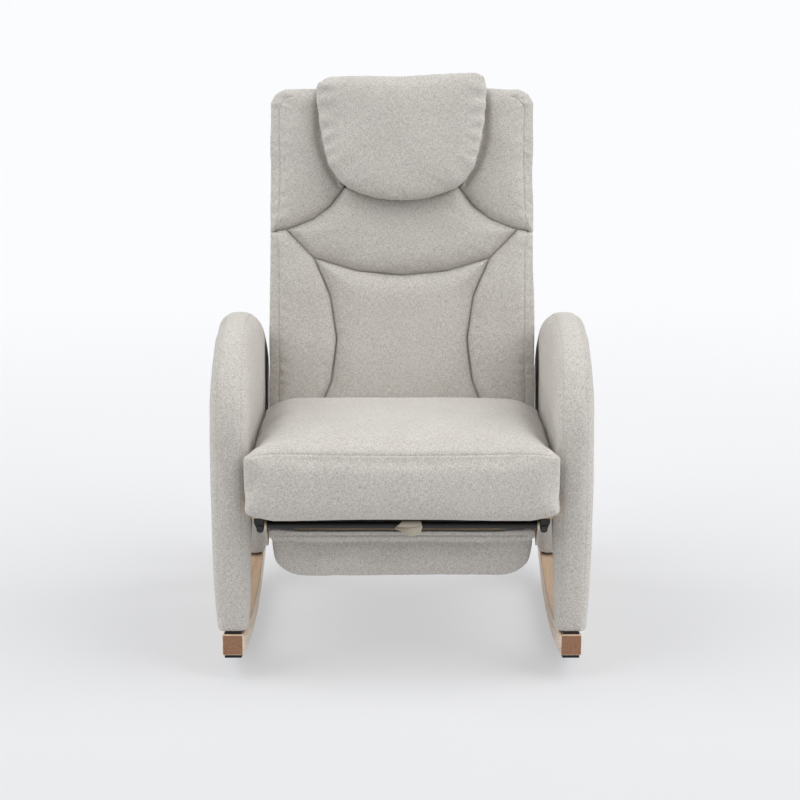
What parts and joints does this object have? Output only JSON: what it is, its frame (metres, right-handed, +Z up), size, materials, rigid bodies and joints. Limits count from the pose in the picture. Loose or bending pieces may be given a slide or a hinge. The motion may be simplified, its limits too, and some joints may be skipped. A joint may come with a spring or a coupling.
{
  "type": "recliner armchair",
  "caption": "Upholstered rocking recliner on curved wooden rockers, with a reclining back and a footrest that pulls out from under the seat and folds over.",
  "frame": {"origin": "on the floor, under the middle of the chair's bounding box", "axes": "+Z up, -Y towards the front of the seat, +X across the chair from arm to arm"},
  "size_m": [0.68, 0.88, 1.0444],
  "materials": {
    "upholstery": "matte",
    "rocker_wood": "satin",
    "frame_wood": "matte",
    "rubber": "matte",
    "black_plastic": "matte",
    "black_metal": "satin",
    "zinc_steel": "satin",
    "webbing": "matte",
    "dust_cloth": "matte",
    "tab_cloth": "matte"
  },
  "bodies": {
    "chair_base": {"arm_bolts": "zinc_steel", "arm_cover_left": "upholstery", "arm_cover_right": "upholstery", "arm_frame_left": "frame_wood", "arm_frame_right": "frame_wood", "arm_spacers": "black_plastic", "fixed_plate_screws": "zinc_steel", "hinge_fixed_plate_left": "black_metal", "hinge_fixed_plate_right": "black_metal", "hinge_nut_left": "zinc_steel", "hinge_nut_right": "zinc_steel", "hinge_pin_left": "zinc_steel", "hinge_pin_right": "zinc_steel", "rocker_bolts": "zinc_steel", "rocker_left": "rocker_wood", "rocker_right": "rocker_wood", "rocker_rubber_left": "rubber", "rocker_rubber_right": "rubber", "rocker_spacers": "black_plastic", "seat_cushion": "upholstery", "seat_dust_cover": "dust_cloth", "seat_front_rail": "frame_wood", "seat_rear_rail": "frame_wood", "seat_side_rail_left": "frame_wood", "seat_side_rail_right": "frame_wood", "seat_springs": "zinc_steel", "slide_guide_left": "black_metal", "slide_guide_right": "black_metal", "spring_clips": "zinc_steel"},
    "back": {"back_bottom_rail": "frame_wood", "back_middle_rail": "frame_wood", "back_shell": "upholstery", "back_stile_left": "frame_wood", "back_stile_right": "frame_wood", "back_top_rail": "frame_wood", "back_webbing": "webbing", "centre_cushion": "upholstery", "head_pillow": "upholstery", "hinge_moving_plate_left": "black_metal", "hinge_moving_plate_right": "black_metal", "lumbar_cushion": "upholstery", "moving_plate_screws": "zinc_steel", "pillow_backing": "upholstery", "side_bolster_left": "upholstery", "side_bolster_right": "upholstery", "wing_cushion_left": "upholstery", "wing_cushion_right": "upholstery"},
    "footrest_carriage": {"bracket_caps": "black_plastic", "footrest_bracket_left": "black_metal", "footrest_bracket_right": "black_metal", "footrest_crossbar": "black_metal", "pull_tab": "tab_cloth", "slide_tube_left": "black_metal", "slide_tube_plugs": "black_plastic", "slide_tube_right": "black_metal"},
    "footrest": {"footrest_board": "frame_wood", "footrest_link_left": "zinc_steel", "footrest_link_right": "zinc_steel", "footrest_pad": "upholstery", "link_screws": "zinc_steel"}
  },
  "joints": [
    {"name": "back_recline", "type": "hinge", "parent": "chair_base", "child": "back", "pos_m": [0, 0.09, 0.335], "axis": [-1, 0, 0], "range_deg": [0, 35]},
    {"name": "footrest_slide", "type": "slide", "parent": "chair_base", "child": "footrest_carriage", "axis": [0, -1, 0], "range_m": [0, 0.28]},
    {"name": "footrest_flip", "type": "hinge", "parent": "footrest_carriage", "child": "footrest", "pos_m": [0, -0.362, 0.279], "axis": [-1, 0, 0], "range_deg": [0, 180]}
  ],
  "couplings": [
    {"joint": "footrest_flip", "follows": "footrest_slide", "rad_per_m": 11.2}
  ]
}
